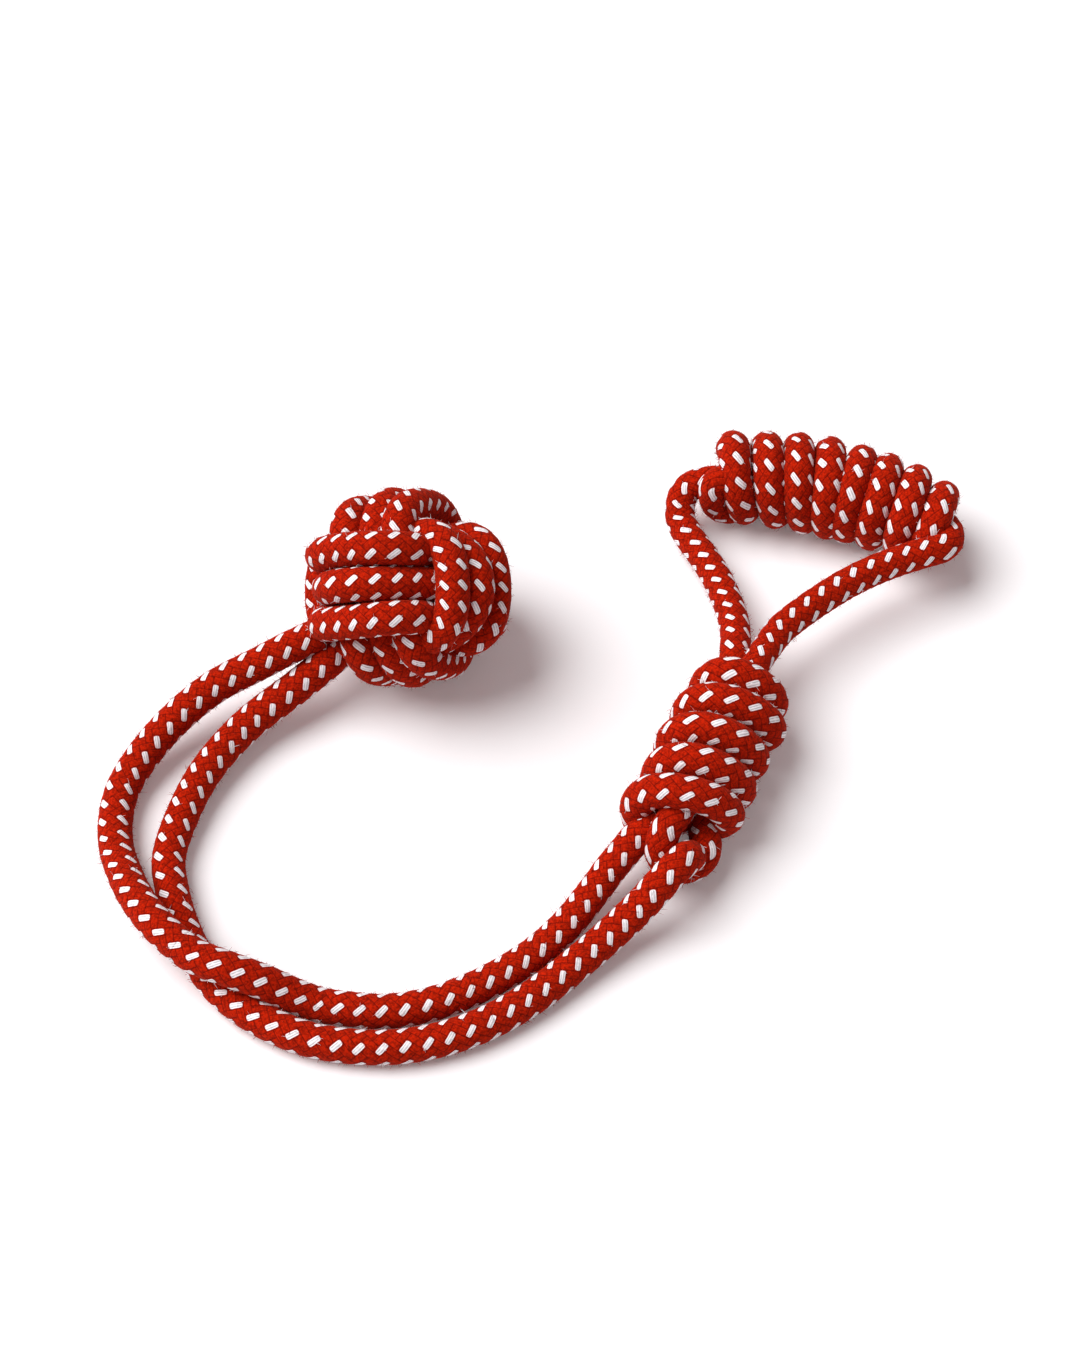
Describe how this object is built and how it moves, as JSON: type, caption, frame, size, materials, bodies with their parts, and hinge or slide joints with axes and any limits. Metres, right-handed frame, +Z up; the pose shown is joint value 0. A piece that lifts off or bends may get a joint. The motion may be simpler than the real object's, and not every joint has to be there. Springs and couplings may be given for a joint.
{
  "type": "rope dog toy",
  "caption": "Braided rope dog toy: a monkey's fist ball on two long strands, a barrel knot and a wound loop handle.",
  "frame": {"origin": "On the floor, under the middle of the toy's outline as it lies", "axes": "+Z up from the floor, +X from the ball towards the handle, +Y from the bend of the strands towards the handle's grip"},
  "size_m": [0.2622, 0.2136, 0.0574],
  "materials": {
    "cotton_rope": "matt braided cotton, deep red with rows of short white flecks",
    "bead": "bare"
  },
  "bodies": {
    "barrel_knot": {"barrel_winding": "cotton_rope", "barrel_core_left": "cotton_rope", "barrel_core_top": "cotton_rope", "barrel_core_right": "cotton_rope", "barrel_bight": "cotton_rope", "strand_a_end": "cotton_rope", "strand_b_end": "cotton_rope"},
    "near_strands": {"strand_a_barrel_bend": "cotton_rope", "strand_b_barrel_bend": "cotton_rope", "strand_a_near_link": "cotton_rope", "strand_b_near_link": "cotton_rope"},
    "mid_strands": {"strand_a_near_bend": "cotton_rope", "strand_b_near_bend": "cotton_rope", "strand_a_mid_link": "cotton_rope", "strand_b_mid_link": "cotton_rope"},
    "far_strands": {"strand_a_far_bend": "cotton_rope", "strand_b_far_bend": "cotton_rope", "strand_a_far_link": "cotton_rope", "strand_b_far_link": "cotton_rope"},
    "ball": {"strand_a_neck_bend": "cotton_rope", "strand_b_neck_bend": "cotton_rope", "strand_a_tail": "cotton_rope", "strand_b_tail": "cotton_rope", "ball_bead": "bead", "ball_pass_1_turn_1": "cotton_rope", "ball_pass_1_turn_2": "cotton_rope", "ball_pass_1_turn_3": "cotton_rope", "ball_pass_2_turn_1": "cotton_rope", "ball_pass_2_turn_2": "cotton_rope", "ball_pass_2_turn_3": "cotton_rope", "ball_pass_3_turn_1": "cotton_rope", "ball_pass_3_turn_2": "cotton_rope", "ball_pass_3_turn_3": "cotton_rope"},
    "handle": {"left_leg_bend": "cotton_rope", "right_leg_bend": "cotton_rope", "left_leg": "cotton_rope", "right_leg": "cotton_rope", "right_leg_turn": "cotton_rope", "grip_winding": "cotton_rope", "grip_core": "cotton_rope"}
  },
  "joints": [
    {"name": "barrel_swing", "type": "hinge", "parent": "barrel_knot", "child": "near_strands", "pos_m": [0.00915, -0.06777, 0.005], "axis": [0, 0, 1], "range_deg": [-8, 30], "deforming": ["strand_a_barrel_bend", "strand_b_barrel_bend"]},
    {"name": "near_swing", "type": "hinge", "parent": "near_strands", "child": "mid_strands", "pos_m": [-0.05805, -0.09567, 0.005], "axis": [0, 0, 1], "range_deg": [-10, 30], "deforming": ["strand_a_near_bend", "strand_b_near_bend"]},
    {"name": "far_swing", "type": "hinge", "parent": "mid_strands", "child": "far_strands", "pos_m": [-0.11725, -0.04057, 0.005], "axis": [0, 0, 1], "range_deg": [-10, 30], "deforming": ["strand_a_far_bend", "strand_b_far_bend"]},
    {"name": "ball_swing", "type": "hinge", "parent": "far_strands", "child": "ball", "pos_m": [-0.07775, 0.01853, 0.017], "axis": [0, 0, 1], "range_deg": [-25, 25], "deforming": ["strand_a_neck_bend", "strand_b_neck_bend"]},
    {"name": "handle_lift", "type": "hinge", "parent": "barrel_knot", "child": "handle", "pos_m": [0.06185, 0.02453, 0.0165], "axis": [0.9233, -0.3841, 0], "range_deg": [0, 90], "deforming": ["left_leg_bend", "right_leg_bend"]}
  ]
}
